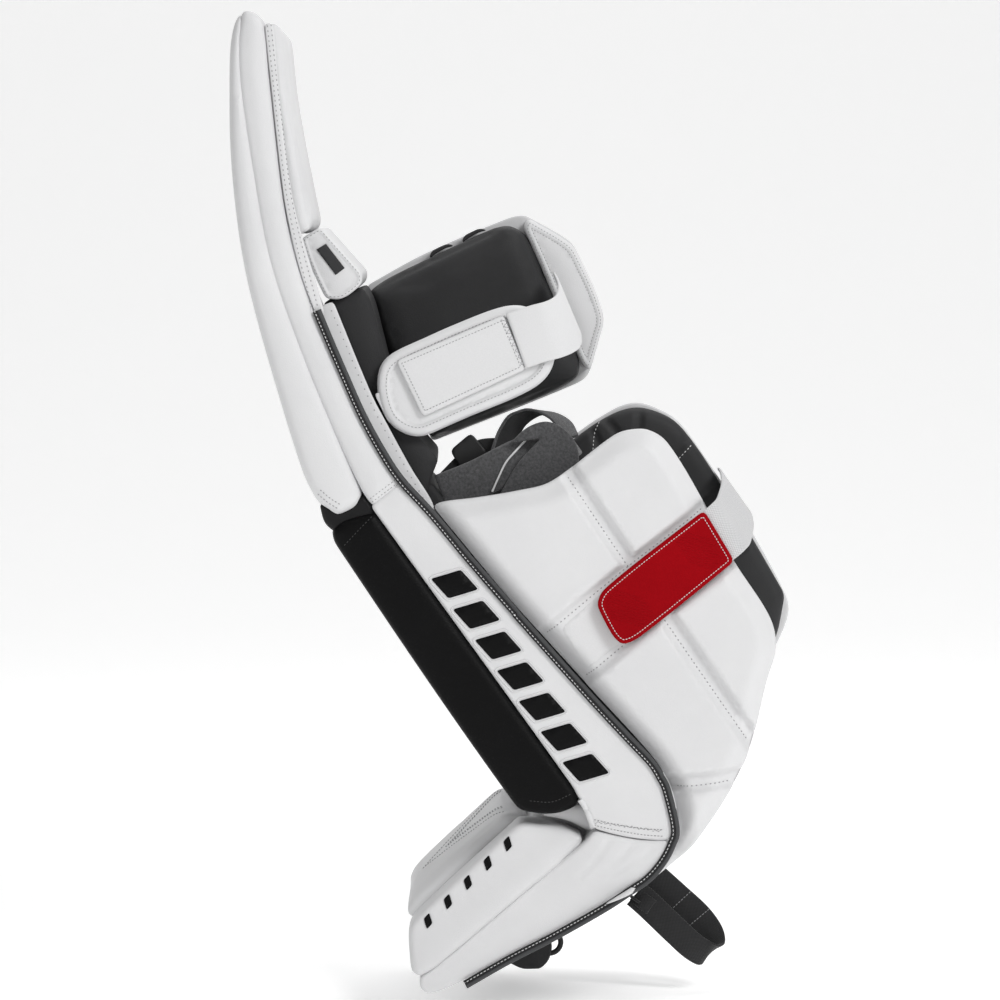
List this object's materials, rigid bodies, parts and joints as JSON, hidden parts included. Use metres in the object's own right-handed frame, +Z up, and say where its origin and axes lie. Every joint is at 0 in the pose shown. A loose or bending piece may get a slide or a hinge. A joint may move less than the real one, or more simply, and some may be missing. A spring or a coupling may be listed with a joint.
{
  "type": "ice hockey goalie leg pad",
  "caption": "Goalie's leg pad, bent as worn: padded thigh rise, knee stack, shin with leg wraps and boot, held by a calf strap, knee strap and boot strap.",
  "frame": {"origin": "on the leg channel's liner, half way up the shin, in the middle of the pad's width", "axes": "+X to the back of the leg, +Y to the inner side of the leg, +Z up, in the bend the pad is worn in"},
  "size_m": [0.4991, 0.2936, 0.8513],
  "materials": {
    "white_leather": "satin synthetic leather, fine grain",
    "black_leather": "satin synthetic leather, fine grain",
    "liner_fabric": "brushed knit lining",
    "grey_piping": "satin, corded",
    "foam_core": "layered closed-cell foam, hidden",
    "grey_felt": "felted loop pile",
    "black_webbing": "woven nylon webbing",
    "white_webbing": "woven elastic webbing",
    "red_leather": "satin synthetic leather, stitched edge",
    "hook_tape": "hook tape",
    "black_plastic": "moulded, matte",
    "care_tag": "woven tag, blank"
  },
  "bodies": {
    "shin": {"shin_outer_roll": "black_leather", "shin_side_panel": "white_leather", "shin_face_panel": "white_leather", "shin_core": "foam_core", "shin_inner_wall": "white_leather", "knee_break_fabric": "liner_fabric", "leg_channel_liner": "liner_fabric", "shin_flange": "white_leather", "shin_piping": "grey_piping", "side_panel_blocks": "black_leather", "lateral_wrap_root": "white_leather", "medial_wrap_root": "white_leather", "inner_felt_strap": "grey_felt", "felt_pull_loop": "grey_felt", "buckle_web": "black_webbing", "slide_buckle": "black_plastic"},
    "thigh": {"thigh_front_roll": "white_leather", "thigh_rear_roll": "white_leather", "thigh_face_panel": "white_leather", "thigh_core": "foam_core", "thigh_inner_wall": "white_leather", "thigh_back_panel": "white_leather", "thigh_binding": "white_leather", "knee_wedge": "white_leather", "care_tag": "care_tag", "knee_liner": "liner_fabric", "thigh_flange": "white_leather", "thigh_piping": "grey_piping", "knee_wing_hinge": "white_webbing"},
    "boot": {"boot_outer_roll": "white_leather", "boot_side_panel": "white_leather", "boot_face_panel": "white_leather", "boot_core": "foam_core", "boot_inner_wall": "white_leather", "boot_piping": "grey_piping", "skate_channel_liner": "liner_fabric", "toe_anchor": "black_webbing"},
    "lateral_wrap": {"lateral_wrap": "white_leather", "lateral_wrap_lining": "liner_fabric", "strap_landing": "white_leather"},
    "medial_wrap": {"medial_wrap": "white_leather", "medial_wrap_lining": "liner_fabric", "calf_strap_anchor": "white_webbing"},
    "calf_strap": {"calf_strap_web": "white_webbing", "calf_strap_tab": "red_leather", "calf_strap_hook": "hook_tape"},
    "knee_stack": {"knee_block": "black_leather", "knee_block_shell": "white_leather", "knee_block_cap": "white_leather", "knee_block_loop_1": "black_webbing", "knee_block_loop_2": "black_webbing", "knee_strap_anchor": "white_webbing"},
    "knee_strap": {"knee_strap_web": "white_webbing", "knee_strap_tab": "white_leather"},
    "knee_wing": {"knee_wing": "white_leather"},
    "boot_strap": {"boot_strap_web": "black_webbing", "boot_strap_buckle": "black_plastic"},
    "toe_tie": {"toe_tie_loop": "black_webbing", "toe_tie_connector": "black_plastic"}
  },
  "joints": [
    {"name": "knee_flex", "type": "hinge", "parent": "shin", "child": "thigh", "pos_m": [-0.10577, 0, 0.10395], "axis": [0, 1, 0], "range_deg": [-3, 10]},
    {"name": "ankle_flex", "type": "hinge", "parent": "shin", "child": "boot", "pos_m": [0.08992, 0, -0.19127], "axis": [0, 1, 0], "range_deg": [-6, 8]},
    {"name": "calf_strap_peel", "type": "hinge", "parent": "medial_wrap", "child": "calf_strap", "pos_m": [0.19634, 0.138, 0.08555], "axis": [-0.5793, 0, 0.8151], "range_deg": [0, 110]},
    {"name": "medial_wrap_swing", "type": "hinge", "parent": "shin", "child": "medial_wrap", "pos_m": [0.01386, 0.14, 0.00985], "axis": [-0.6625, 0, 0.749], "range_deg": [0, 17]},
    {"name": "lateral_wrap_swing", "type": "hinge", "parent": "shin", "child": "lateral_wrap", "pos_m": [0.01386, -0.14, 0.00985], "axis": [0.6625, 0, -0.749], "range_deg": [0, 23]},
    {"name": "knee_strap_peel", "type": "hinge", "parent": "knee_stack", "child": "knee_strap", "pos_m": [0.04356, 0.0535, 0.24618], "axis": [-0.225, 0, 0.9744], "range_deg": [0, 80]},
    {"name": "knee_stack_swing", "type": "hinge", "parent": "thigh", "child": "knee_stack", "pos_m": [-0.11005, 0.121, 0.20251], "axis": [-0.3881, 0, 0.9216], "range_deg": [0, 9]},
    {"name": "knee_wing_swing", "type": "hinge", "parent": "thigh", "child": "knee_wing", "pos_m": [-0.11762, -0.122, 0.17305], "axis": [0.3312, 0, -0.9436], "range_deg": [0, 13]},
    {"name": "boot_strap_swing", "type": "hinge", "parent": "boot", "child": "boot_strap", "pos_m": [0.10457, -0.0027, -0.23777], "axis": [0.7314, 0, 0.682], "range_deg": [-35, 35]},
    {"name": "toe_tie_swing", "type": "hinge", "parent": "boot", "child": "toe_tie", "pos_m": [0.02476, 0, -0.29442], "axis": [0, 1, 0], "range_deg": [-14, 3]}
  ],
  "couplings": [
    {"joint": "medial_wrap_swing", "follows": "calf_strap_peel", "ratio": 0.15},
    {"joint": "lateral_wrap_swing", "follows": "calf_strap_peel", "ratio": 0.2},
    {"joint": "knee_stack_swing", "follows": "knee_strap_peel", "ratio": 0.1},
    {"joint": "knee_wing_swing", "follows": "knee_strap_peel", "ratio": 0.15}
  ]
}
